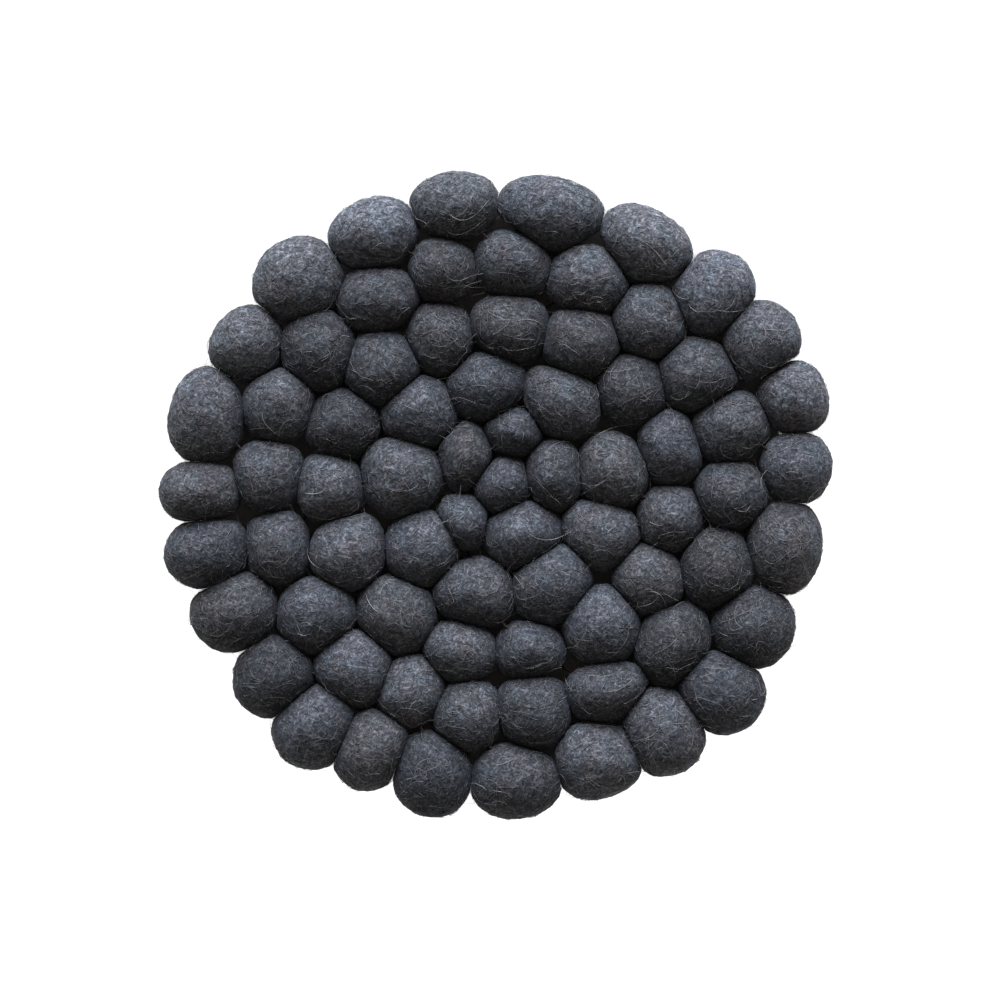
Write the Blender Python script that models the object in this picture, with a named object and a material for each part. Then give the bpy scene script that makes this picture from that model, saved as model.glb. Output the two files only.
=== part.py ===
"""Felt ball trivet: felted wool balls threaded in rounds, and the rounds laced to each other.

The mat lies on the XY plane with its middle over the origin. Each ball starts as an ellipsoid and is
pressed flat against its neighbours, as the pull of the threads does to soft felt. Square channels, cut
through the balls, hold one thread along each round and one lacing between each two rounds.
"""

import math
from collections import namedtuple

import bmesh
import bpy
from mathutils import Vector

for leftover in list(bpy.data.objects):
    bpy.data.objects.remove(leftover, do_unlink=True)

MM = 0.001

# Driving dimensions, in millimetres.
BALL_HEIGHT = 20.0  # of a ball that is MIDDLING_BALL wide
MIDDLING_BALL = 22.0
HEIGHT_SHARE = 0.35  # how much of its extra width a bigger ball shows in its height
BALL_MIDDLE = 10.2  # height of the round threads above the table
BALL_LIFT = 0.4  # how far a ball sits above or below its thread at most
MAT_THICKNESS = 20.8  # from the table to the highest crowns
BALL_GAP = 0.30  # between two balls that press on each other
PLAN_FULLNESS = 2.5  # seen from above; 2 is an ellipse, more is nearer to a rounded rectangle
INNER_SPREAD = (1.13, 1.13)  # along and across the round: how far squeezed felt fills the corners
OUTER_SPREAD = (1.09, 1.05)
OUTER_TUCK = 0.6  # the outer balls are drawn in by this, so that they spread only inwards
THREAD_WIDTH = 0.9
CHANNEL_WIDTH = 1.6  # leaves the thread 0.35 free on every side
LACING_STEP = 2.8  # how far above or below the round threads the lacings pass

# A ball's facets, and what makes up for their cutting inside the round shape.
FACETS_A_SIDE = 3
PLAN_SWELL = 1.035
CROWN_SWELL = 1.07
PRESS_PASSES = 8
PRESS_REACH = 45.0  # neighbours further than this never touch
SMALLEST_EDGE = 0.3
SHARPEST_MITRE = 0.4
LEVEL = Vector((1, 1, 0))

# Each round of balls, in the order that the maker threads them, clockwise seen from above:
# bearing from +Y in degrees, reach from the mat's middle, size along the round and across it.
OUTER_ROUND = [
    (352, 88.5, 27.0, 20.5),
    (11, 87.0, 33.0, 20.5),
    (31, 88.5, 31.0, 20.0),
    (47, 90.0, 22.5, 25.5),
    (60, 93.5, 22.0, 23.5),
    (72, 95.5, 24.5, 19.5),
    (84.5, 92.0, 22.5, 20.5),
    (100, 89.0, 27.5, 22.5),
    (117, 88.0, 24.5, 24.0),
    (131, 91.0, 23.0, 25.0),
    (145, 88.0, 24.5, 26.0),
    (158.5, 86.0, 27.5, 23.5),
    (176, 87.0, 27.5, 22.5),
    (192.5, 86.5, 24.5, 25.5),
    (206, 86.0, 20.0, 25.0),
    (218, 88.5, 22.0, 27.0),
    (230.5, 87.0, 21.5, 24.5),
    (246, 86.5, 22.0, 27.0),
    (259, 89.0, 21.5, 26.0),
    (270.5, 89.5, 20.5, 24.5),
    (285.5, 90.5, 32.0, 22.5),
    (301, 87.5, 24.5, 21.5),
    (317.5, 88.0, 27.0, 25.0),
    (335, 87.0, 28.0, 22.0),
]
SECOND_ROUND = [
    (347, 70.0, 20.5, 19.5),
    (4.5, 70.0, 24.0, 19.5),
    (23.5, 70.5, 25.0, 19.5),
    (41.5, 70.5, 22.5, 21.5),
    (59, 71.0, 20.5, 21.5),
    (74, 73.5, 20.5, 22.5),
    (90, 71.5, 20.5, 20.0),
    (108, 70.5, 24.5, 21.5),
    (130, 69.5, 25.0, 21.5),
    (150, 68.5, 25.0, 18.5),
    (170, 66.5, 21.5, 22.5),
    (187, 67.5, 19.5, 21.5),
    (203, 64.5, 18.5, 22.0),
    (219.5, 68.0, 22.0, 23.0),
    (236, 65.5, 22.0, 23.5),
    (256.5, 67.5, 22.0, 20.0),
    (275, 69.0, 22.0, 20.0),
    (292.5, 71.5, 22.0, 21.5),
    (309.5, 69.5, 23.0, 25.0),
    (329, 69.5, 25.0, 20.0),
]
THIRD_ROUND = [
    (341, 49.5, 18.5, 22.0),
    (5.5, 50.5, 23.5, 19.5),
    (29, 52.5, 23.0, 21.5),
    (52.5, 52.0, 21.0, 19.5),
    (75, 54.5, 21.5, 18.5),
    (97.5, 53.5, 19.5, 19.0),
    (119, 53.0, 19.5, 21.5),
    (140.5, 51.5, 22.0, 23.5),
    (168, 48.0, 20.5, 17.0),
    (192.5, 48.5, 22.0, 18.5),
    (219, 47.0, 23.0, 21.5),
    (249.5, 48.0, 21.5, 24.0),
    (272.5, 49.5, 21.5, 20.0),
    (295, 50.5, 22.0, 19.5),
    (317.5, 51.5, 21.5, 22.5),
]
FOURTH_ROUND = [
    (317, 33.5, 21.5, 21.5),
    (355, 33.0, 22.5, 21.0),
    (35, 34.5, 25.0, 20.5),
    (79, 36.0, 22.0, 21.5),
    (110, 34.0, 20.5, 23.0),
    (147.5, 32.0, 25.5, 20.5),
    (192, 30.0, 24.5, 19.0),
    (233, 26.5, 21.5, 24.5),
    (282, 29.5, 25.0, 24.0),
]
# The five balls of the heart and the core ball only fill the hole that is left:
# right of and behind the mat's middle, then size left to right and front to back.
HEART_BALLS = [
    (-8.5, 11.5, 15.0, 21.5),
    (5.5, 19.0, 16.0, 13.5),
    (18.0, 6.0, 17.0, 20.5),
    (8.0, -11.5, 23.0, 19.5),
    (-9.5, -8.0, 14.5, 16.5),
]
CORE_BALL = (2.0, 3.0, 16.0, 17.5)

LIFT_TURN = 2.4  # radians; spreads the lifts unevenly from ball to ball

Ball = namedtuple("Ball", "middle turn along across tall spread outermost")


# Placing the balls.

def ball_at(x, y, turn, along, across, spread, outermost=False):
    """A ball that the threads squeeze narrow keeps most of its height."""
    tall = BALL_HEIGHT + HEIGHT_SHARE * (math.sqrt(along * across) - MIDDLING_BALL)
    lift = BALL_LIFT * math.sin(LIFT_TURN * (x + y))
    return Ball(Vector((x, y, BALL_MIDDLE + lift)), turn, along, across, tall, spread, outermost)


def balls_in_round(rows, spread, tuck=0.0, outermost=False):
    balls = []
    for bearing, reach, along, across in rows:
        turn = -math.radians(bearing)
        x, y = -(reach - tuck) * math.sin(turn), (reach - tuck) * math.cos(turn)
        balls.append(ball_at(x, y, turn, along, across, spread, outermost))
    return balls


outer = balls_in_round(OUTER_ROUND, OUTER_SPREAD, OUTER_TUCK, outermost=True)
second = balls_in_round(SECOND_ROUND, INNER_SPREAD)
third = balls_in_round(THIRD_ROUND, INNER_SPREAD)
fourth = balls_in_round(FOURTH_ROUND, INNER_SPREAD)
heart = [ball_at(x, y, 0, wide, deep, INNER_SPREAD) for x, y, wide, deep in HEART_BALLS]
core = ball_at(*CORE_BALL[:2], 0, *CORE_BALL[2:], INNER_SPREAD)
every_ball = outer + second + third + fourth + heart + [core]


# The felt balls.

def half_width(ball, way):
    """From the ball's middle to its side, along a level direction."""
    angle = math.atan2(way.y, way.x) - ball.turn
    return 1 / math.hypot(2 * math.cos(angle) / ball.along, 2 * math.sin(angle) / ball.across)


def fullness(facing, ball):
    """How much further out a ball reaches between its axes than an ellipse; a free outer side does not."""
    reach = math.hypot(facing.x, facing.y)
    if reach == 0 or (ball.outermost and facing.y > 0):
        return 1.0
    parts = abs(facing.x / reach) ** PLAN_FULLNESS + abs(facing.y / reach) ** PLAN_FULLNESS
    return parts ** (-1 / PLAN_FULLNESS)


def press(verts, ball):
    """Bring every point back to the walls where the ball meets its neighbours, and to the table."""
    walls = []
    for other in every_ball:
        apart = (other.middle - ball.middle) * LEVEL
        if other is ball or apart.length > PRESS_REACH:
            continue
        way = apart.normalized()
        mine, theirs = half_width(ball, way), half_width(other, -way)
        walls.append((way, apart.length * mine / (mine + theirs) - BALL_GAP / 2))
    for _ in range(PRESS_PASSES):
        for way, wall in walls:
            for vert in verts:
                past = vert.co.dot(way) - wall
                if past > 0:
                    vert.co -= way * past
    for vert in verts:
        vert.co.z = min(max(vert.co.z, -ball.middle.z), MAT_THICKNESS - ball.middle.z)


def felt_ball(name, ball, material):
    """A cube of facets spread out to an ellipsoid, pressed by its neighbours and closed as a hull."""
    bm = bmesh.new()
    bmesh.ops.create_cube(bm, size=2)
    bmesh.ops.subdivide_edges(bm, edges=bm.edges[:], cuts=FACETS_A_SIDE - 1, use_grid_fill=True)
    cosine, sine = math.cos(ball.turn), math.sin(ball.turn)
    for vert in bm.verts:
        facing = Vector([math.tan(part * math.pi / 4) for part in vert.co]).normalized()
        fuller = fullness(facing, ball)
        x = facing.x * ball.along / 2 * PLAN_SWELL * ball.spread[0] * fuller
        y = facing.y * ball.across / 2 * PLAN_SWELL * ball.spread[1] * fuller
        z = facing.z * ball.tall / 2 * CROWN_SWELL
        vert.co = Vector((x * cosine - y * sine, x * sine + y * cosine, z))
    press(bm.verts, ball)
    bmesh.ops.remove_doubles(bm, verts=bm.verts[:], dist=SMALLEST_EDGE)
    bmesh.ops.delete(bm, geom=bm.edges[:] + bm.faces[:], context="EDGES_FACES")
    bmesh.ops.convex_hull(bm, input=bm.verts[:])
    loose = [vert for vert in bm.verts if not vert.link_faces]
    bmesh.ops.delete(bm, geom=loose, context="VERTS")
    bmesh.ops.recalc_face_normals(bm, faces=bm.faces[:])
    bmesh.ops.scale(bm, vec=Vector((MM, MM, MM)), verts=bm.verts[:])
    return finished(name, bm, ball.middle * MM, material)


def finished(name, bm, location, material):
    mesh = bpy.data.meshes.new(name)
    bm.to_mesh(mesh)
    bm.free()
    mesh.shade_smooth()
    mesh.set_sharp_from_angle(angle=math.radians(50))
    mesh.materials.append(material)
    obj = bpy.data.objects.new(name, mesh)
    obj.location = location
    bpy.context.scene.collection.objects.link(obj)
    return obj


# The threads and their channels.

def closed_tube(name, balls, height, width, material):
    """A square tube round a closed path, with a mitred turn at each ball's middle."""
    bm = bmesh.new()
    path = [Vector((ball.middle.x, ball.middle.y)) for ball in balls]
    sections = []
    for here, corner in enumerate(path):
        before = (corner - path[here - 1]).normalized()
        after = (path[(here + 1) % len(path)] - corner).normalized()
        left = Vector((-before.y, before.x))
        mitre = (left + Vector((-after.y, after.x))).normalized()
        offset = mitre * width / 2 / max(mitre.dot(left), SHARPEST_MITRE)
        section = []
        for side, level in ((1, 1), (-1, 1), (-1, -1), (1, -1)):
            place = corner + offset * side
            section.append(bm.verts.new((place.x * MM, place.y * MM, (height + level * width / 2) * MM)))
        sections.append(section)
    for here, section in enumerate(sections):
        following = sections[(here + 1) % len(sections)]
        for edge in range(4):
            turn = (edge + 1) % 4
            bm.faces.new((section[edge], section[turn], following[turn], following[edge]))
    bmesh.ops.recalc_face_normals(bm, faces=bm.faces[:])
    return finished(name, bm, Vector(), material)


def as_cutter(obj):
    obj.hide_render = True
    obj.display_type = "WIRE"
    return obj


def boolean(obj, tool, operation):
    modifier = obj.modifiers.new(tool.name, "BOOLEAN")
    modifier.operation = operation
    modifier.solver = "EXACT"
    if isinstance(tool, bpy.types.Collection):
        modifier.operand_type = "COLLECTION"
        modifier.collection = tool
    else:
        modifier.object = tool


def by_bearing(balls):
    """Balls of two rounds in one zigzag order round the mat."""
    return sorted(balls, key=lambda ball: math.atan2(ball.middle.x, ball.middle.y))


def principled(name, colour, roughness):
    material = bpy.data.materials.new(name)
    material.use_nodes = True
    shader = material.node_tree.nodes["Principled BSDF"]
    shader.inputs["Base Color"].default_value = (*colour, 1.0)
    shader.inputs["Roughness"].default_value = roughness
    shader.inputs["Metallic"].default_value = 0.0
    return material


def charcoal_felt(name):
    return principled(name, (0.032, 0.036, 0.043), 0.95)


def dark_thread(name):
    return principled(name, (0.022, 0.014, 0.014), 0.7)


# Each round's thread runs at the balls' middles, and the lacings pass above and below it in turn.
round_paths = {
    "outer_thread": outer,
    "second_thread": second,
    "third_thread": third,
    "fourth_thread": fourth,
    "heart_thread": heart[:4] + [core] + heart[4:],
}
lacing_paths = {
    "outer_lacing": (by_bearing(outer + second), LACING_STEP),
    "middle_lacing": (by_bearing(second + third), -LACING_STEP),
    "inner_lacing": (by_bearing(third + fourth), LACING_STEP),
    "heart_lacing": (by_bearing(fourth + heart), -LACING_STEP),
}
thread_runs = {name: (balls, BALL_MIDDLE) for name, balls in round_paths.items()}
for name, (balls, step) in lacing_paths.items():
    thread_runs[name] = (balls, BALL_MIDDLE + step)

cutters = {}
threads = {}
for name, (balls, height) in thread_runs.items():
    thread = closed_tube(name, balls, height, THREAD_WIDTH, dark_thread(name))
    channel = closed_tube(name + "_channel", balls, height, CHANNEL_WIDTH, dark_thread(name + "_channel"))
    threads[name] = thread
    cutters[name] = as_cutter(channel)


def cut_channels(obj, thread_names):
    for thread_name in thread_names:
        boolean(obj, cutters[thread_name], "DIFFERENCE")


def loose_balls(label, balls, thread_names):
    """One node for each ball, with a channel for each thread that passes through it."""
    for number, ball in enumerate(balls, start=1):
        name = f"{label}_{number:02d}"
        cut_channels(felt_ball(name, ball, charcoal_felt(name)), thread_names)


def strung_balls(name, label, balls, thread_name, lacing_names):
    """A round whose balls are one node with their own thread, as a string of beads."""
    beads = bpy.data.collections.new(name + "_beads")
    bpy.context.scene.collection.children.link(beads)
    for number, ball in enumerate(balls, start=1):
        bead = felt_ball(f"{label}_{number:02d}", ball, charcoal_felt(f"{label}_{number:02d}"))
        bpy.context.scene.collection.objects.unlink(bead)
        beads.objects.link(as_cutter(bead))
    string = threads.pop(thread_name)
    string.name = name
    string.data.materials[0] = charcoal_felt(name)
    boolean(string, beads, "UNION")
    cut_channels(string, lacing_names)
    bpy.data.objects.remove(cutters.pop(thread_name), do_unlink=True)


loose_balls("outer_ball", outer, ["outer_thread", "outer_lacing"])
loose_balls("second_ball", second, ["second_thread", "outer_lacing", "middle_lacing"])
strung_balls("third_string", "third_ball", third, "third_thread", ["middle_lacing", "inner_lacing"])
strung_balls("fourth_string", "fourth_ball", fourth, "fourth_thread", ["inner_lacing", "heart_lacing"])
loose_balls("heart_ball", heart, ["heart_thread", "heart_lacing"])
cut_channels(felt_ball("core_ball", core, charcoal_felt("core_ball")), ["heart_thread"])
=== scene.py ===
"""Felt ball trivet: the look of a charcoal mat of felted wool balls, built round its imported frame.

Sizes are in metres and angles in degrees, unless a comment says otherwise.
"""

import math

import bmesh
import bpy
import numpy as np
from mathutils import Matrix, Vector, noise
from mathutils.bvhtree import BVHTree


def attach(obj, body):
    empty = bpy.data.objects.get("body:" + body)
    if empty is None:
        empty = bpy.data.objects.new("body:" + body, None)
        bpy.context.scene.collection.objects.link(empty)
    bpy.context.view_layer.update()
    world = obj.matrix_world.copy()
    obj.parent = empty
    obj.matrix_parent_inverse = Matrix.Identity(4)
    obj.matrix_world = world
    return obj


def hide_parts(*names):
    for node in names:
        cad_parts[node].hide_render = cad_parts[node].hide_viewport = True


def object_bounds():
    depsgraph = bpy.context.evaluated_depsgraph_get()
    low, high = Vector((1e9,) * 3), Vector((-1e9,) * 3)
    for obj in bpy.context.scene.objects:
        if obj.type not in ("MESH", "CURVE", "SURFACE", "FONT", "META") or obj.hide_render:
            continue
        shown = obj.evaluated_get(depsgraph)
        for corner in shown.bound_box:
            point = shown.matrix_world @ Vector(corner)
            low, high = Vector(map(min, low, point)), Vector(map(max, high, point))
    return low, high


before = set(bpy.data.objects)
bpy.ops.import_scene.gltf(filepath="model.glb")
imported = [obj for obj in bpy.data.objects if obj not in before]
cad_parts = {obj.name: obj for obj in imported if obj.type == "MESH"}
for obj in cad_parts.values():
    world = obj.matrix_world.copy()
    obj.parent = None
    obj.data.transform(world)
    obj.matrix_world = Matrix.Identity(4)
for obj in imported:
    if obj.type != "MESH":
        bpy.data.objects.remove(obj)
cad_low, cad_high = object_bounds()


# The table and the light. The mat lies on a plain white sheet, whose part under the mat is a piece of
# its own in a darker grey, painted shade for the floor seen between the balls. One wide soft light comes
# low from behind the mat and is kept off the sheet, which has its own soft light from straight above.

FLOOR_WHITE = (0.92, 0.92, 0.92, 1.0)
# Painted shade: the grey of the sheet under the mat, for the floor lying in shadow between the balls.
FLOOR_PAINTED_SHADE = (0.30, 0.30, 0.30, 1.0)
FLOOR_ROUGHNESS = 0.9
SHEET_INNER, SHEET_OUTER = 0.0885, 3.0  # the two pieces meet under the outer round
SHEET_SIDES = 96
LOW_LIGHT = {"height_deg": 21.5, "spread_deg": 52.0, "strength": 12.4, "colour": (0.817, 0.875, 1.0)}
TOP_LIGHT = {"height_deg": 90.0, "spread_deg": 10.0, "strength": 3.7, "colour": (1.0, 1.0, 1.0)}
ALL_ROUND_STRENGTH = 0.270
ALL_ROUND_COLOUR = (1.0, 0.92, 0.865, 1.0)
VIEW_MIDDLE = (0.0015, -0.0015)
VIEW_WIDTH = 0.302  # how much of the table the camera takes in
VIEW_DISTANCE = 1.2
SENSOR_MM = 36.0


def table_paint(name, colour):
    paint = bpy.data.materials.new(name)
    paint.use_nodes = True
    shader = paint.node_tree.nodes["Principled BSDF"]
    shader.inputs["Base Color"].default_value = colour
    shader.inputs["Roughness"].default_value = FLOOR_ROUGHNESS
    return paint


def table_piece(name, paint, reaches):
    """A level ring between two reaches from the mat's middle, or a disc where only one is given."""
    bm = bmesh.new()
    rings = []
    for reach in reaches:
        turns = [math.tau * side / SHEET_SIDES for side in range(SHEET_SIDES)]
        rings.append([bm.verts.new((reach * math.cos(turn), reach * math.sin(turn), 0)) for turn in turns])
    if len(rings) == 1:
        bm.faces.new(rings[0])
    else:
        for side in range(SHEET_SIDES):
            after = (side + 1) % SHEET_SIDES
            bm.faces.new((rings[0][side], rings[1][side], rings[1][after], rings[0][after]))
    mesh = bpy.data.meshes.new(name)
    bm.to_mesh(mesh)
    bm.free()
    mesh.materials.append(paint)
    piece = bpy.data.objects.new(name, mesh)
    bpy.context.scene.collection.objects.link(piece)
    return piece


open_sheet = table_piece("white_sheet", table_paint("sheet_paint", FLOOR_WHITE), (SHEET_INNER, SHEET_OUTER))
# The sheet under the mat is painted darker, as painted shade for the floor seen in the gaps.
sheet_under_mat = table_piece("sheet_under_mat", table_paint("painted_shade_paint", FLOOR_PAINTED_SHADE), (SHEET_INNER,))

world = bpy.data.worlds.new("studio")
world.use_nodes = True
world.node_tree.nodes["Background"].inputs["Color"].default_value = ALL_ROUND_COLOUR
world.node_tree.nodes["Background"].inputs["Strength"].default_value = ALL_ROUND_STRENGTH
bpy.context.scene.world = world


def studio_light(name, sizes, pieces, link_state):
    """A light that shines on some pieces of the sheet alone, or on everything but them."""
    light = bpy.data.lights.new(name, "SUN")
    light.energy = sizes["strength"]
    light.angle = math.radians(sizes["spread_deg"])
    light.color = sizes["colour"]
    lamp = bpy.data.objects.new(name, light)
    lamp.rotation_euler = (math.radians(sizes["height_deg"] - 90), 0, 0)
    bpy.context.scene.collection.objects.link(lamp)
    lit = bpy.data.collections.new(name + "_pieces")
    lamp.light_linking.receiver_collection = lit
    for place, piece in enumerate(pieces):
        lit.objects.link(piece)
        lit.collection_objects[place].light_linking.link_state = link_state


studio_light("low_light", LOW_LIGHT, (open_sheet, sheet_under_mat), "EXCLUDE")
studio_light("top_light", TOP_LIGHT, (open_sheet,), "INCLUDE")

camera = bpy.data.cameras.new("camera")
camera.sensor_width = SENSOR_MM
camera.lens = SENSOR_MM * VIEW_DISTANCE / VIEW_WIDTH
camera_stand = bpy.data.objects.new("camera", camera)
camera_stand.location = (*VIEW_MIDDLE, VIEW_DISTANCE + cad_high.z / 2)
bpy.context.scene.collection.objects.link(camera_stand)
bpy.context.scene.camera = camera_stand
bpy.context.scene.view_settings.view_transform = "Standard"


# The outer round: single balls of wet-felted charcoal wool. Carded wool is rolled into a ball until
# it mats, so the surface is a tangle of short fibres. The thread pulls the balls flat on each other.

BALL_DETAIL = 5  # subdivisions of the ball's starting icosphere
COMPASS_STEP_DEG = 12  # between the bearings at which a CAD ball's outline is measured
SIDE_ROUNDING = 5.0  # the higher, the sharper the corners between a ball's pressed sides
DOME_FULLNESS = 1.74  # 2 is an ellipsoid's profile, more is squarer
PRESS_SWELL = 0.040  # how far a ball would bulge into its neighbours
PRESS_SOFTNESS = 0.00022  # how gently the bulge turns into the flat wall
PRESS_REACH = 0.045  # balls whose middles are closer than this may press on each other
TOUCH_GAP = 0.00002
CREASE_SHADE_DEPTH = 0.0020  # how far from a wall the painted crease shade reaches
LUMP_SIZE, LUMP_HEIGHT = 0.0075, 0.00045
DENT_SIZE, DENT_HEIGHT = 0.0022, 0.00018
SAME_PLACE = 1e-6  # corners closer than this are one
TABLE_CLEARANCE = 0.00002


def welded(obj):
    """A bmesh of a CAD node with the corners of its loose triangles joined."""
    bm = bmesh.new()
    bm.from_mesh(obj.data)
    bmesh.ops.remove_doubles(bm, verts=bm.verts[:], dist=SAME_PLACE)
    return bm


def smooth_ball():
    """Unit directions and faces of an even sphere."""
    bm = bmesh.new()
    bmesh.ops.create_icosphere(bm, subdivisions=BALL_DETAIL, radius=1.0)
    places = np.array([vert.co.normalized() for vert in bm.verts])
    faces = [[vert.index for vert in face.verts] for face in bm.faces]
    bm.free()
    return places, faces


directions, ball_faces = smooth_ball()
bearings = np.radians(np.arange(0, 360, COMPASS_STEP_DEG))
compass = np.stack((np.cos(bearings), np.sin(bearings)), axis=1)


def walls_round(number, balls):
    """Where a ball meets each neighbour: the level direction to it, and the wall midway between them."""
    corners = balls[number]
    middle = (corners.min(axis=0) + corners.max(axis=0)) / 2
    walls = []
    for other, there in enumerate(balls):
        apart = ((there.min(axis=0) + there.max(axis=0)) / 2 - middle)[:2]
        distance = math.hypot(*apart)
        if other != number and distance < PRESS_REACH:
            way = apart / distance
            mine, theirs = (corners[:, :2] @ way).max(), (there[:, :2] @ way).min()
            walls.append((way, (mine + theirs) / 2 - TOUCH_GAP))
    return walls


def felt_shape(corners, walls):
    """A lumpy dome above and below the ball's outline, and how much painted crease shade each point gets.
    """
    low, high = corners.min(axis=0), corners.max(axis=0)
    middle = (low + high) / 2
    outline = ((corners - middle)[:, :2] @ compass.T).max(axis=0)
    facing = np.maximum(directions[:, :2] @ compass.T, 0) / outline
    sideways = np.power(np.power(facing, SIDE_ROUNDING).sum(axis=1), 1 / SIDE_ROUNDING)
    upwards = np.abs(directions[:, 2]) / ((high[2] - low[2]) / 2)
    reach = np.power(sideways**DOME_FULLNESS + upwards**DOME_FULLNESS, -1 / DOME_FULLNESS)
    places = directions * reach[:, None]
    places *= (high - low) / (places.max(axis=0) - places.min(axis=0))
    ways = np.array([way for way, wall in walls])
    toward = np.maximum(directions[:, :2] @ ways.T, 0).max(axis=1)
    places[:, :2] *= 1 + PRESS_SWELL * toward[:, None] ** 2
    places += middle
    for index, place in enumerate(places):
        lump = noise.noise(Vector(place / LUMP_SIZE)) * LUMP_HEIGHT
        dent = noise.noise(Vector(place / DENT_SIZE)) * DENT_HEIGHT
        places[index] += directions[index] * (lump + dent)
    for way, wall in walls:
        past = (places[:, :2] @ way - wall) / PRESS_SOFTNESS
        back = PRESS_SOFTNESS * np.logaddexp(0, past)
        places[:, :2] -= back[:, None] * way
    places[:, 2] = np.maximum(places[:, 2], TABLE_CLEARANCE)
    # Painted shade: the nearer a point lies to a neighbour's wall, the more of the crease's shadow is
    # painted on it.
    nearest = np.min([wall - places[:, :2] @ way for way, wall in walls], axis=0)
    return places, np.exp(-nearest / CREASE_SHADE_DEPTH)


FELT_DARK = (0.0200, 0.0197, 0.0208, 1.0)
FELT_MIDDLE = (0.046, 0.0462, 0.0495, 1.0)
FELT_PALE = (0.142, 0.1445, 0.155, 1.0)
FELT_CREASE_SHADE = (0.006, 0.006, 0.007, 1.0)  # painted shade for the crease where two balls press together
CREASE_SHADE_SHARE = 0.65  # how far the wool at a wall turns to that painted shade
FIBRE_SHADES = ((0.50, FELT_DARK), (0.62, FELT_MIDDLE), (0.80, FELT_PALE))
FIBRE_DIRECTIONS = ((20, 10, 0), (80, 40, 50), (10, 75, 110), (55, 120, 70), (100, 15, 160))
FIBRE_ACROSS, FIBRE_ALONG, FIBRE_DETAIL = 1350.0, 250.0, 1.5  # streaks in a metre
SWAY_SCALE, SWAY_WIDTH = 420.0, 0.0016  # how often and how far the fibres wander
PATCH_SCALE, PATCH_DETAIL = 160.0, 3.0
PATCH_HUES = ((0.35, (1.04, 0.98, 0.97)), (0.65, (0.92, 1.02, 1.05)))  # browner, then bluer
MOTTLE_SCALE, MOTTLE_SHARE = 440.0, 0.30
NOISE_LOW, NOISE_HIGH = 0.3, 0.7  # nearly all of a noise lies between these
NOISE_MIDDLE = (0.5, 0.5, 0.5)
ROUGH_HOLLOW, ROUGH_RIDGE = 0.98, 0.80
FIBRE_RELIEF = {"Strength": 0.36, "Distance": 0.0004}
FELT_FINISH = {
    "Specular IOR Level": 0.15,
    "Sheen Weight": 0.06,
    "Sheen Roughness": 0.45,
    "Sheen Tint": (0.72, 0.82, 1.0, 1.0),
}
COLOUR_FIRST, COLOUR_SECOND, COLOUR_MIXED = 6, 7, 2  # places of a colour Mix node's sockets


def feed(tree, fed, inputs):
    """Gives a node its inputs, by name or place: each a link from a socket, or a constant."""
    for name, value in inputs.items():
        if isinstance(value, bpy.types.NodeSocket):
            tree.links.new(value, fed.inputs[name])
        else:
            fed.inputs[name].default_value = value


def node(tree, kind, inputs, **settings):
    """A new node, which takes its settings first, because they decide which inputs it has."""
    made = tree.nodes.new(kind)
    for name, value in settings.items():
        setattr(made, name, value)
    feed(tree, made, inputs)
    return made


def sums(tree, operation, *values):
    """What a Math node makes of sockets and numbers."""
    return node(tree, "ShaderNodeMath", dict(enumerate(values)), operation=operation).outputs[0]


def vectors(tree, operation, *values):
    """What a Vector Math node makes of sockets and vectors."""
    return node(tree, "ShaderNodeVectorMath", dict(enumerate(values)), operation=operation).outputs[0]


def scaled(tree, vector, factor):
    return node(tree, "ShaderNodeVectorMath", {0: vector, "Scale": factor}, operation="SCALE").outputs[0]


def ranged(tree, value, start, end, to_start, to_end, clamp=True):
    """A value carried from one range to another."""
    ends = {"From Min": start, "From Max": end, "To Min": to_start, "To Max": to_end}
    return node(tree, "ShaderNodeMapRange", {"Value": value, **ends}, clamp=clamp).outputs[0]


def clouds(tree, place, scale, detail=1.0):
    """The outputs of a soft noise that is read at a place."""
    return node(tree, "ShaderNodeTexNoise", {"Vector": place, "Scale": scale, "Detail": detail}).outputs


def shaded(tree, amount, shades):
    """The colour for an amount, blended between shades that each start at their own amount."""
    ramp = node(tree, "ShaderNodeValToRGB", {"Fac": amount})
    stops = ramp.color_ramp.elements
    stops[0].position, stops[0].color = shades[0]
    stops[1].position, stops[1].color = shades[-1]
    for start, colour in shades[1:-1]:
        stops.new(start).color = colour
    return ramp.outputs["Color"]


def mixed(tree, blend, share, first, second):
    """Two colours blended by a share of the second."""
    colours = {"Factor": share, COLOUR_FIRST: first, COLOUR_SECOND: second}
    return node(tree, "ShaderNodeMix", colours, data_type="RGBA", blend_type=blend).outputs[COLOUR_MIXED]


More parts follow.
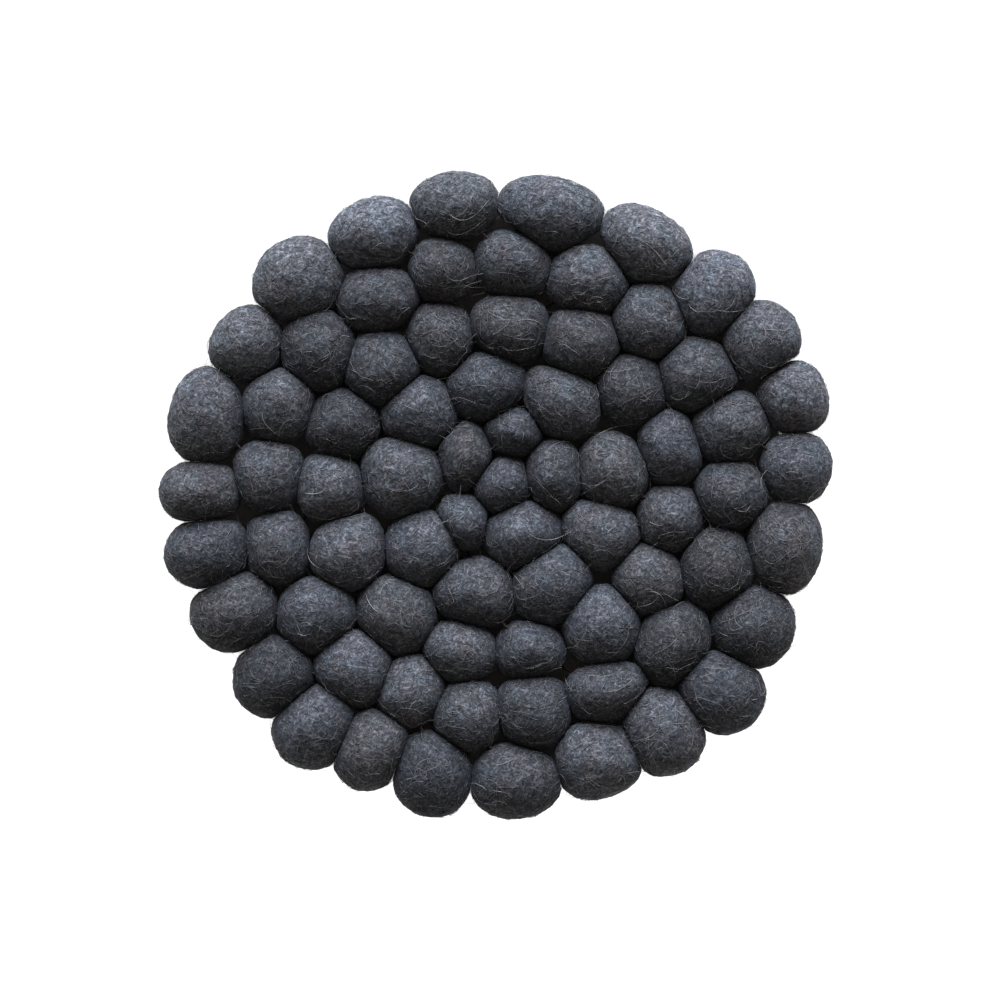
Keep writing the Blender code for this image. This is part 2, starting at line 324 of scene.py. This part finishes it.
def felt_material(name, tint):
    """Matted wool: streaks of fibres in five directions, over soft patches of a bluer or browner wool."""
    material = bpy.data.materials.new(name)
    material.use_nodes = True
    tree = material.node_tree
    place = node(tree, "ShaderNodeTexCoord", {}).outputs["Object"]

    sway = vectors(tree, "SUBTRACT", clouds(tree, place, SWAY_SCALE)["Color"], NOISE_MIDDLE)
    swayed = vectors(tree, "ADD", place, scaled(tree, sway, SWAY_WIDTH))
    streaks = []
    for turn in FIBRE_DIRECTIONS:
        turned = {
            "Vector": swayed,
            "Rotation": [math.radians(angle) for angle in turn],
            "Scale": (1 / FIBRE_ALONG, 1 / FIBRE_ACROSS, 1 / FIBRE_ACROSS),
        }
        along = node(tree, "ShaderNodeMapping", turned, vector_type="TEXTURE").outputs[0]
        streaks.append(clouds(tree, along, 1.0, FIBRE_DETAIL)["Fac"])
    fibres = streaks[0]
    for streak in streaks[1:]:
        fibres = sums(tree, "MAXIMUM", fibres, streak)

    mottle = clouds(tree, place, MOTTLE_SCALE)["Fac"]
    clumps = ranged(tree, mottle, NOISE_LOW, NOISE_HIGH, 1 - MOTTLE_SHARE, 1 + MOTTLE_SHARE)
    wool = scaled(tree, shaded(tree, fibres, FIBRE_SHADES), clumps)
    hues = [
        (start, (*(part * share for part, share in zip(hue, tint)), 1.0))
        for start, hue in PATCH_HUES
    ]
    patches = shaded(tree, clouds(tree, place, PATCH_SCALE, PATCH_DETAIL)["Fac"], hues)
    dyed = mixed(tree, "MULTIPLY", 1.0, wool, patches)
    # Painted shade: the wool is darkened towards each wall where a neighbour meets it, for the shadow in
    # the crease.
    crease_shade = node(tree, "ShaderNodeAttribute", {}, attribute_name="crease_shade").outputs["Fac"]
    crease_shaded = mixed(tree, "MIX", sums(tree, "MULTIPLY", crease_shade, CREASE_SHADE_SHARE), dyed, FELT_CREASE_SHADE)

    relief = node(tree, "ShaderNodeBump", {"Height": fibres, **FIBRE_RELIEF}).outputs[0]
    roughness = ranged(tree, fibres, 0.0, 1.0, ROUGH_HOLLOW, ROUGH_RIDGE)
    finish = {"Base Color": crease_shaded, "Roughness": roughness, "Normal": relief, **FELT_FINISH}
    feed(tree, tree.nodes["Principled BSDF"], finish)
    return material


# Each ball's wool in its order round the mat: how pale from 1 to 9, and n plain, u bluer or w browner.
BALL_WOOLS = {
    "outer_ball": "6n 6u 9n 9u 6n 9n 6u 4w 2n 3u 6n 6n 3n 2u 5w 5u 1n 3w 3u 5w 6n 7n 8n 9u",
    "second_ball": "3w 4n 6n 6n 4n 5n 3n 2w 2w 4n 3n 5n 8n 7u 4u 5n 5n 6n 2n 4n",
    "third_ball": "7n 5w 8n 7n 2n 3n 3w 3w 3w 2w 5u 5n 6w 7u 4u",
    "fourth_ball": "5n 7u 6n 5u 3u 5n 6w 7n 5u",
    "heart_ball": "4w 3u 4n 6u 6u",
    "core_ball": "5u",
}
WOOL_HUES = {"n": (1.0, 1.0, 1.0), "u": (0.97, 1.0, 1.035), "w": (1.04, 1.0, 0.96)}
PALE_STEP, PALE_MIDDLE = 0.11, 5  # each step from the middle one is this much paler
felts = {}


def felt_of(code):
    """The felt of one wool, made when the first ball asks for it."""
    if code not in felts:
        paleness = 1 + PALE_STEP * (int(code[0]) - PALE_MIDDLE)
        felts[code] = felt_material("charcoal_felt_" + code, [paleness * hue for hue in WOOL_HUES[code[1]]])
    return felts[code]


cad_balls = {}
ball_shapes = {}


def numbered(label, first, last):
    """The names of some balls of a round."""
    return [f"{label}_{number:02d}" for number in range(first, last + 1)]


def single_balls(names):
    """The corners of CAD balls that are nodes of their own, each with the node that it stands for."""
    for name in names:
        bm = welded(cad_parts[name])
        cad_balls[name] = (np.array([tuple(vert.co) for vert in bm.verts]), name)
        bm.free()


OUTER_COUNT = 24
single_balls(numbered("outer_ball", 1, OUTER_COUNT))


# The second round: twenty more of the same balls, threaded inside the outer round. They are felted like
# the outer ones and press on both of the rounds beside them.

SECOND_COUNT = 20
single_balls(numbered("second_ball", 1, SECOND_COUNT))


# The third and fourth rounds. Here each round is one string of balls on its thread, and the balls are
# found where the string narrows to the bare thread between them.

THREAD_LEVEL = 0.0102
THREAD_HALF = 0.0005  # a little more than half of the bare thread's width in the CAD


def balls_on_string(string, label):
    """The corners of each ball of a string, in order of bearing."""
    bm = welded(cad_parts[string])
    bare = [
        face for face in bm.faces
        if all(abs(vert.co.z - THREAD_LEVEL) < THREAD_HALF for vert in face.verts)
    ]
    bmesh.ops.delete(bm, geom=bare, context="FACES_ONLY")
    left = {vert for vert in bm.verts if vert.link_faces}
    balls = []
    while left:
        waiting, ball = [left.pop()], []
        while waiting:
            vert = waiting.pop()
            ball.append(tuple(vert.co))
            for face in vert.link_faces:
                for other in face.verts:
                    if other in left:
                        left.remove(other)
                        waiting.append(other)
        balls.append(np.array(ball))
    bm.free()
    balls.sort(key=lambda ball: math.atan2(*ball.mean(axis=0)[:2]))
    for number, ball in enumerate(balls, start=1):
        cad_balls[f"{label}_{number:02d}"] = (ball, string)


balls_on_string("third_string", "third_ball")
balls_on_string("fourth_string", "fourth_ball")


# The heart: five small balls and the core ball, which fill the hole inside the fourth round. With them
# every ball is known, and each is now felted and pressed against its neighbours.

HEART_COUNT = 5
single_balls(numbered("heart_ball", 1, HEART_COUNT) + ["core_ball"])

every_ball = [corners for corners, cad_node in cad_balls.values()]
wools = " ".join(BALL_WOOLS.values()).split()
for number, (name, (corners, cad_node)) in enumerate(cad_balls.items()):
    mesh = bpy.data.meshes.new(name + "_felt")
    places, crease_shade = felt_shape(corners, walls_round(number, every_ball))
    mesh.from_pydata([tuple(place) for place in places], [], ball_faces)
    # Each point keeps its share of the painted crease shade, which the felt's colour reads.
    mesh.attributes.new("crease_shade", "FLOAT", "POINT").data.foreach_set("value", crease_shade)
    mesh.shade_smooth()
    mesh.materials.append(felt_of(wools[number]))
    ball = bpy.data.objects.new(name + "_felt", mesh)
    bpy.context.scene.collection.objects.link(ball)
    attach(ball, "root")
    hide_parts(cad_node)
    ball_shapes[name] = ball


# The threads: dark red cotton, two plies twisted on each other. One runs round through the balls of
# each round, and the lacings between the rounds pass above and below it. They show between the balls.

THREAD_WIDTH = 0.0009
PLY_STEP = 0.0004  # between the places at which a ply turns
PLY_TURN = 0.0026  # length of thread in which a ply goes once round
PLY_SIDES = 5
PLY_STARTS = (0.0, math.pi)
PLY_HALF_SHARE = 0.25  # a ply's half width as a share of the thread's width
PLY_OVERLAP = 1.08  # the plies press into each other by this
LONGEST_THREAD_SIDE = 0.0035  # longer edges of a CAD thread run along it
THREAD_INPUTS = {
    "Geometry": ("Path",),
    "Float": ("Width", "Step", "Turn"),
    "Material": ("Cotton",),
}
# Flecks a metre, then the darkest and the palest colour.
COTTON = (1500.0, (0.013, 0.006, 0.006, 1.0), (0.026, 0.010, 0.010, 1.0))
FLECK_LOW, FLECK_HIGH = 0.38, 0.64
STRAND_FINISH = {"Roughness": 0.6, "Specular IOR Level": 0.3}


def new_tree(name, inputs):
    """A Geometry Nodes tree, its inputs' identifiers by name, and the sockets that they feed."""
    tree = bpy.data.node_groups.new(name, "GeometryNodeTree")
    names = {}
    for kind, labels in inputs.items():
        for label in labels:
            made = tree.interface.new_socket(name=label, in_out="INPUT", socket_type="NodeSocket" + kind)
            names[label] = made.identifier
    tree.interface.new_socket(name="Mesh", in_out="OUTPUT", socket_type="NodeSocketGeometry")
    return tree, names, node(tree, "NodeGroupInput", {}).outputs


def end_tree(tree, shape, material):
    """The tree's last steps: all of the shape made real, in one material."""
    real = node(tree, "GeometryNodeRealizeInstances", {0: shape}).outputs[0]
    dyed = node(tree, "GeometryNodeSetMaterial", {"Geometry": real, "Material": material}).outputs[0]
    node(tree, "NodeGroupOutput", {0: dyed})


def swept(tree, path, radius, sides, caps):
    """A round tube along each path."""
    circle = {"Resolution": sides, "Radius": radius}
    ring = node(tree, "GeometryNodeCurvePrimitiveCircle", circle, mode="RADIUS").outputs["Curve"]
    tube = {"Curve": path, "Profile Curve": ring, "Fill Caps": caps}
    return node(tree, "GeometryNodeCurveToMesh", tube).outputs[0]


def twisted_tree():
    """A path of corners turned into two plies that wind round it."""
    tree, names, given = new_tree("twisted_thread", THREAD_INPUTS)
    path = node(tree, "GeometryNodeMeshToCurve", {0: given["Path"]}).outputs[0]
    spaced = {"Curve": path, "Length": given["Step"]}
    even = node(tree, "GeometryNodeResampleCurve", spaced, mode="LENGTH").outputs[0]
    along = node(tree, "GeometryNodeSplineParameter", {}).outputs["Length"]
    aside = node(tree, "GeometryNodeInputNormal", {}).outputs[0]
    onward = node(tree, "GeometryNodeInputTangent", {}).outputs[0]
    over = vectors(tree, "CROSS_PRODUCT", onward, aside)
    turned = sums(tree, "MULTIPLY", sums(tree, "DIVIDE", along, given["Turn"]), math.tau)
    ply_half = sums(tree, "MULTIPLY", given["Width"], PLY_HALF_SHARE)
    ply_radius = sums(tree, "MULTIPLY", ply_half, PLY_OVERLAP)
    plies = node(tree, "GeometryNodeJoinGeometry", {})
    for start in PLY_STARTS:
        angle = sums(tree, "ADD", turned, start)
        out = scaled(tree, aside, sums(tree, "MULTIPLY", sums(tree, "COSINE", angle), ply_half))
        up = scaled(tree, over, sums(tree, "MULTIPLY", sums(tree, "SINE", angle), ply_half))
        aslant = {"Geometry": even, "Offset": vectors(tree, "ADD", out, up)}
        wound = node(tree, "GeometryNodeSetPosition", aslant).outputs[0]
        feed(tree, plies, {0: swept(tree, wound, ply_radius, PLY_SIDES, False)})
    end_tree(tree, plies.outputs[0], given["Cotton"])
    return tree, names


def flecked(name, flecks_a_metre, dark, pale):
    """Wool or cotton whose colour changes from one small spot to the next."""
    material = bpy.data.materials.new(name)
    material.use_nodes = True
    tree = material.node_tree
    place = node(tree, "ShaderNodeTexCoord", {}).outputs["Object"]
    flecks = clouds(tree, place, flecks_a_metre)["Fac"]
    colour = shaded(tree, flecks, ((FLECK_LOW, dark), (FLECK_HIGH, pale)))
    feed(tree, tree.nodes["Principled BSDF"], {"Base Color": colour, **STRAND_FINISH})
    return material


def thread_corners(name):
    """The middles of a CAD thread's mitred sections, in the order that the thread runs."""
    bm = welded(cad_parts[name])
    section_of, middles = {}, []
    for vert in bm.verts:
        if vert in section_of:
            continue
        waiting, section = [vert], {vert}
        while waiting:
            here = waiting.pop()
            for edge in here.link_edges:
                other = edge.other_vert(here)
                if edge.calc_length() < LONGEST_THREAD_SIDE and other not in section:
                    section.add(other)
                    waiting.append(other)
        section_of.update((part, len(middles)) for part in section)
        middles.append(sum((part.co for part in section), Vector()) / len(section))
    beside = [set() for middle in middles]
    for edge in bm.edges:
        first, second = (section_of[vert] for vert in edge.verts)
        if first != second:
            beside[first].add(second)
            beside[second].add(first)
    bm.free()
    order, here = [0], min(beside[0])
    while here != 0:
        order.append(here)
        onward = beside[here] - {order[-2]}
        here = onward.pop() if len(onward) == 1 else 0
    return [tuple(middles[place]) for place in order]


def ball_middles(label):
    """The middles of a string's balls, at the height of its thread."""
    boxes = [corners for name, (corners, cad_node) in cad_balls.items() if name.startswith(label)]
    middles = [(corners.min(axis=0) + corners.max(axis=0)) / 2 for corners in boxes]
    return [(middle[0], middle[1], THREAD_LEVEL) for middle in middles]


def plain_mesh(name, live):
    """What an object's modifiers or curves make, as a plain mesh in a piece of its own."""
    made = bpy.data.meshes.new_from_object(live.evaluated_get(bpy.context.evaluated_depsgraph_get()))
    bpy.data.objects.remove(live, do_unlink=True)
    made.name = name
    piece = bpy.data.objects.new(name, made)
    bpy.context.scene.collection.objects.link(piece)
    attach(piece, "root")
    return piece


thread_winding, thread_inputs = twisted_tree()
cotton = flecked("dark_red_cotton", *COTTON)
THREAD_SIZES = {"Width": THREAD_WIDTH, "Step": PLY_STEP, "Turn": PLY_TURN, "Cotton": cotton}
ROUND_THREADS = ("outer_thread", "second_thread", "heart_thread")
LACINGS = ("outer_lacing", "middle_lacing", "inner_lacing", "heart_lacing")
thread_paths = {name: (thread_corners(name), name) for name in ROUND_THREADS + LACINGS}
thread_paths["third_thread"] = (ball_middles("third_ball"), "third_string")
thread_paths["fourth_thread"] = (ball_middles("fourth_ball"), "fourth_string")
for name, (corners, cad_node) in thread_paths.items():
    route = bpy.data.meshes.new(name + "_route")
    route.from_pydata(corners, [(place, (place + 1) % len(corners)) for place in range(len(corners))], [])
    spool = bpy.data.objects.new(name + "_route", route)
    bpy.context.scene.collection.objects.link(spool)
    winding = spool.modifiers.new("winding", "NODES")
    winding.node_group = thread_winding
    for label, value in THREAD_SIZES.items():
        winding[thread_inputs[label]] = value
    thread = plain_mesh(name + "_twisted", spool)
    thread.data.shade_smooth()
    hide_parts(cad_node)


# The loose fibres on the balls. Felting leaves short ends of wool that lie on the surface and rise out
# of it here and there, and some longer pale hairs that curl over a ball. Only open surface has them.

OPEN_GAP = 0.0016  # a point that faces another ball within this is not open
OFF_SURFACE = 0.00002  # so that a ray doesn't hit the ball that it leaves
UNDERSIDE_SLOPE, UNDERSIDE_SHARE = -0.25, 0.35  # felt that faces down more than this has less hair
HAIR_CLEARANCE = 0.0001  # over the table
HAIR_SIDES = 3
CURL_START, CURL_PEAK, CURL_END = (-0.5, 0, 0), (0.1, 1.0, 0), (0.5, 0, 0)  # of a hair 1 m long
RISE_SCALE = 450.0  # how often a hair sinks into the felt and comes out of it, in a metre
HAIR_INPUTS = {
    "Geometry": ("Felt",),
    "Float": (
        "Hairs per square metre", "Shortest", "Longest", "Curl", "Sway", "Sways a metre",
        "Lift", "Sink", "Width",
    ),
    "Int": ("Steps", "Seed"),
    "Material": ("Wool",),
}
SHORT_HAIRS = {
    "Hairs per square metre": 230000.0,
    "Shortest": 0.0018,
    "Longest": 0.0055,
    "Curl": 0.4,
    "Sway": 0.0022,
    "Sways a metre": 300.0,
    "Lift": 0.00024,
    "Sink": -0.00014,
    "Width": 0.00015,
    "Steps": 6,
}
STRAY_HAIRS = {
    "Hairs per square metre": 20000.0,
    "Shortest": 0.004,
    "Longest": 0.015,
    "Curl": 1.0,
    "Sway": 0.0036,
    "Sways a metre": 110.0,
    "Lift": 0.00062,
    "Sink": 0.00002,
    "Width": 0.00010,
    "Steps": 14,
}
STRAY_SEED = 40  # added, so that strays don't grow from the short hairs' places
SHORT_WOOL = (900.0, (0.030, 0.030, 0.032, 1.0), (0.113, 0.116, 0.124, 1.0))
STRAY_WOOL = (300.0, (0.065, 0.061, 0.058, 1.0), (0.235, 0.222, 0.205, 1.0))


def random_between(tree, low, high, seed):
    """A random number for each hair."""
    ends = {2: low, 3: high, "Seed": seed}
    return node(tree, "FunctionNodeRandomValue", ends, data_type="FLOAT").outputs[1]


def strewn_curls(tree, given):
    """Flat curls of many lengths on the open felt, each turned its own way, as curves."""
    seed = given["Seed"]
    bare = node(tree, "GeometryNodeInputNamedAttribute", {"Name": "open"}, data_type="FLOAT")
    density = sums(tree, "MULTIPLY", bare.outputs["Attribute"], given["Hairs per square metre"])
    spread = {"Mesh": given["Felt"], "Density": density, "Seed": seed}
    roots = node(
        tree, "GeometryNodeDistributePointsOnFaces", spread, distribute_method="RANDOM",
    ).outputs
    bow = {"Resolution": given["Steps"], "Start": CURL_START, "Middle": CURL_PEAK, "End": CURL_END}
    curl = node(tree, "GeometryNodeCurveQuadraticBezier", bow).outputs["Curve"]
    circle = {0: (0, 0, 0), 1: (0, 0, math.tau), "Seed": seed}
    turn = node(tree, "FunctionNodeRandomValue", circle, data_type="FLOAT_VECTOR").outputs[0]
    turned = node(
        tree, "FunctionNodeRotateRotation", {0: roots["Rotation"], 1: turn}, rotation_space="LOCAL",
    ).outputs[0]
    length = random_between(tree, given["Shortest"], given["Longest"], seed)
    bend = sums(tree, "MULTIPLY", random_between(tree, -1.0, 1.0, seed), given["Curl"])
    size = node(
        tree, "ShaderNodeCombineXYZ", {0: length, 1: sums(tree, "MULTIPLY", bend, length), 2: length},
    ).outputs[0]
    laid = {"Points": roots["Points"], "Instance": curl, "Rotation": turned, "Scale": size}
    curls = node(tree, "GeometryNodeInstanceOnPoints", laid).outputs[0]
    return node(tree, "GeometryNodeRealizeInstances", {0: curls}).outputs[0]


def hair_tree():
    """Curls of hair strewn over a felt surface, laid down on it and swept as thin round tubes."""
    tree, names, given = new_tree("felt_hairs", HAIR_INPUTS)
    felt = given["Felt"]
    here = node(tree, "GeometryNodeInputPosition", {}).outputs[0]
    drift = vectors(tree, "SUBTRACT", clouds(tree, here, given["Sways a metre"])["Color"], NOISE_MIDDLE)
    swayed = {"Geometry": strewn_curls(tree, given), "Offset": scaled(tree, drift, given["Sway"])}
    wavy = node(tree, "GeometryNodeSetPosition", swayed).outputs[0]

    near = node(tree, "GeometryNodeProximity", {0: felt}, target_element="FACES").outputs["Position"]
    facing = {"Mesh": felt, "Value": node(tree, "GeometryNodeInputNormal", {}).outputs[0]}
    outward = node(tree, "GeometryNodeSampleNearestSurface", facing, data_type="FLOAT_VECTOR").outputs[0]
    rise = clouds(tree, here, RISE_SCALE, 0.0)["Fac"]
    height = ranged(tree, rise, NOISE_LOW, NOISE_HIGH, given["Sink"], given["Lift"], clamp=False)
    on_felt = vectors(tree, "ADD", near, scaled(tree, outward, height))
    parts = node(tree, "ShaderNodeSeparateXYZ", {0: on_felt}).outputs
    off_table = sums(tree, "MAXIMUM", parts[2], HAIR_CLEARANCE)
    kept = node(tree, "ShaderNodeCombineXYZ", {0: parts[0], 1: parts[1], 2: off_table}).outputs[0]
    lying = node(tree, "GeometryNodeSetPosition", {"Geometry": wavy, "Position": kept}).outputs[0]
    half = sums(tree, "MULTIPLY", given["Width"], 0.5)
    end_tree(tree, swept(tree, lying, half, HAIR_SIDES, True), given["Wool"])
    return tree, names


surface_corners, surface_faces = [], []
for ball in ball_shapes.values():
    first = len(surface_corners)
    surface_corners += [vert.co for vert in ball.data.vertices]
    surface_faces += [[first + index for index in face] for face in ball_faces]
surface = BVHTree.FromPolygons(surface_corners, surface_faces)
hairs, hair_inputs = hair_tree()
short_wool = flecked("short_hair_wool", *SHORT_WOOL)
stray_wool = flecked("stray_hair_wool", *STRAY_WOOL)


def open_share(vert):
    """How much of the hair a point of a ball grows: none where the next ball presses on it."""
    hit = surface.ray_cast(vert.co + vert.normal * OFF_SURFACE, vert.normal, OPEN_GAP)
    if hit[0] is not None:
        return 0.0
    return 1.0 if vert.normal.z > UNDERSIDE_SLOPE else UNDERSIDE_SHARE


def felted_surface(labels):
    """The balls of some rounds as one mesh, which says at each point how open it lies."""
    bm = bmesh.new()
    for name, ball in ball_shapes.items():
        if name.startswith(labels):
            bm.from_mesh(ball.data)
    mesh = bpy.data.meshes.new("felt_under_hair")
    bm.to_mesh(mesh)
    bm.free()
    shares = mesh.attributes.new("open", "FLOAT", "POINT")
    shares.data.foreach_set("value", [open_share(vert) for vert in mesh.vertices])
    return mesh


def grow_hairs(name, mesh, wool, sizes, seed):
    """One piece of hairs over some balls, made a plain mesh."""
    bed = bpy.data.objects.new(name + "_bed", mesh)
    bpy.context.scene.collection.objects.link(bed)
    grown = bed.modifiers.new("hairs", "NODES")
    grown.node_group = hairs
    for label, value in {**sizes, "Seed": seed, "Wool": wool}.items():
        grown[hair_inputs[label]] = value
    plain_mesh(name, bed)


OUTER_HALF, SECOND_HALF = OUTER_COUNT // 2, SECOND_COUNT // 2
HAIR_GROUPS = {
    "outer_hair_a": numbered("outer_ball", 1, OUTER_HALF),
    "outer_hair_b": numbered("outer_ball", OUTER_HALF + 1, OUTER_COUNT),
    "second_hair_a": numbered("second_ball", 1, SECOND_HALF),
    "second_hair_b": numbered("second_ball", SECOND_HALF + 1, SECOND_COUNT),
    "third_hair": ["third_ball"],
    "inner_hair": ["fourth_ball", "heart_ball", "core_ball"],
}
for number, (name, labels) in enumerate(HAIR_GROUPS.items(), start=1):
    felt_bed = felted_surface(tuple(labels))
    grow_hairs(name, felt_bed, short_wool, SHORT_HAIRS, number)
    grow_hairs(name.replace("hair", "stray"), felt_bed, stray_wool, STRAY_HAIRS, number + STRAY_SEED)


# The longest pale hairs, which the felting caught only at their ends. They lie in wide arcs over the
# balls, and some bridge the gap from one ball to the next.

LONG_WOOL = (200.0, (0.20, 0.19, 0.17, 1.0), (0.42, 0.40, 0.37, 1.0))
LONG_HAIR_HALF = 0.000055
LONG_HAIR_LIFT = 0.00022
LONG_HAIR_STEPS = 18
LONG_HAIR_TIP = 0.45  # how thick its ends are beside its middle
LONG_HAIR_BEVEL = 1
LOOK_DOWN_FROM = 1.0  # well above every ball
BRIDGE_PASSES = 12
MM = 0.001
# Start, middle and end, in millimetres right of and behind the mat's middle, and how thick it is.
LONG_HAIRS = [
    ((-15.0, 86.0), (-9.0, 82.5), (-2.0, 88.5), 1.2),
    ((-15.0, 80.0), (-10.0, 78.5), (-2.5, 83.5), 1.0),
    ((2.0, 44.0), (7.0, 43.5), (13.5, 45.5), 1.0),
    ((6.0, 52.0), (11.5, 52.5), (15.5, 49.5), 1.1),
    ((25.0, 60.0), (26.5, 60.5), (28.0, 61.5), 1.0),
    ((43.0, 76.5), (48.0, 73.0), (53.5, 66.0), 1.1),
    ((58.0, 57.5), (59.0, 56.0), (60.5, 55.0), 1.1),
    ((66.5, 55.5), (71.0, 55.0), (75.5, 56.0), 1.1),
    ((80.5, 49.5), (84.5, 49.5), (88.5, 49.0), 1.0),
    ((80.0, 51.0), (81.0, 49.0), (81.0, 46.5), 1.0),
    ((-69.5, 25.0), (-69.0, 21.5), (-64.5, 17.5), 1.1),
    ((-74.5, 19.5), (-71.5, 20.0), (-68.0, 20.0), 0.9),
    ((-57.0, 0.5), (-53.0, 0.5), (-51.0, 2.0), 1.8),
    ((-56.5, -16.0), (-55.5, -20.0), (-51.5, -22.5), 1.0),
    ((8.0, 19.5), (8.5, 18.0), (8.0, 16.0), 1.0),
    ((2.5, 18.5), (2.0, 17.0), (2.5, 15.0), 0.9),
    ((25.0, -0.5), (30.0, 2.5), (34.0, 5.0), 1.1),
    ((15.5, 0.0), (18.5, -1.5), (20.0, -3.5), 1.1),
    ((9.0, -10.5), (15.5, -13.5), (23.5, -10.5), 1.1),
    ((4.0, -22.5), (6.5, -25.0), (8.5, -28.0), 1.1),
    ((-21.5, -28.0), (-20.5, -26.0), (-19.5, -24.5), 1.0),
    ((3.5, 25.5), (6.5, 26.5), (9.0, 26.0), 1.0),
    ((82.5, 8.0), (80.0, 3.5), (84.0, -2.0), 1.1),
    ((72.0, -4.0), (74.5, -5.0), (77.0, -3.5), 1.0),
    ((46.0, -29.0), (49.5, -30.0), (51.5, -34.0), 1.2),
    ((41.5, -33.5), (46.0, -33.0), (49.0, -30.5), 1.0),
    ((46.5, -8.0), (48.5, -9.0), (50.5, -9.0), 1.0),
    ((-59.0, -41.5), (-58.0, -42.0), (-56.5, -42.0), 1.1),
    ((-39.0, -29.5), (-37.0, -33.5), (-34.0, -35.5), 1.0),
    ((-23.5, -61.5), (-25.0, -63.0), (-26.0, -65.0), 1.0),
    ((21.0, -51.0), (21.0, -55.0), (23.0, -58.5), 1.0),
    ((-2.5, -91.5), (0.0, -89.0), (3.5, -89.5), 1.0),
    ((44.0, -76.5), (46.0, -75.5), (47.5, -74.0), 1.2),
    ((77.0, -61.5), (78.0, -61.5), (79.5, -61.0), 1.1),
    ((78.0, -44.0), (78.5, -46.0), (78.0, -48.5), 1.0),
    ((28.5, 15.0), (33.5, 19.5), (44.0, 21.5), 0.9),
]


def draped(start, middle, end):
    """Points of an arc that lies on the balls and runs straight where there is nothing under it."""
    start, middle, end = (Vector((x * MM, y * MM, 0)) for x, y in (start, middle, end))
    guide = 2 * middle - (start + end) / 2
    points = []
    for step in range(LONG_HAIR_STEPS + 1):
        part = step / LONG_HAIR_STEPS
        plan = start * (1 - part) ** 2 + guide * 2 * part * (1 - part) + end * part**2
        hit = surface.ray_cast(Vector((plan.x, plan.y, LOOK_DOWN_FROM)), Vector((0, 0, -1)))
        lift = LONG_HAIR_LIFT * math.sin(math.pi * part) + LONG_HAIR_HALF
        points.append(Vector((plan.x, plan.y, (hit[0].z if hit[0] else 0.0) + lift)))
    for _ in range(BRIDGE_PASSES):
        for before, here, after in zip(points, points[1:], points[2:]):
            here.z = max(here.z, (before.z + after.z) / 2)
    return points


arcs = bpy.data.curves.new("long_hairs", "CURVE")
arcs.dimensions = "3D"
arcs.bevel_depth = LONG_HAIR_HALF
arcs.bevel_resolution = LONG_HAIR_BEVEL
arcs.use_fill_caps = True
for start, middle, end, thickness in LONG_HAIRS:
    points = draped(start, middle, end)
    arc = arcs.splines.new("POLY")
    arc.points.add(len(points) - 1)
    for place, point in enumerate(points):
        swell = math.sin(math.pi * place / LONG_HAIR_STEPS)
        arc.points[place].co = (*point, 1)
        arc.points[place].radius = thickness * (LONG_HAIR_TIP + (1 - LONG_HAIR_TIP) * swell)
arcs.materials.append(flecked("long_hair_wool", *LONG_WOOL))
hair_arcs = bpy.data.objects.new("long_hairs_arcs", arcs)
bpy.context.scene.collection.objects.link(hair_arcs)
bpy.context.view_layer.update()
long_hairs = plain_mesh("long_hairs", hair_arcs)
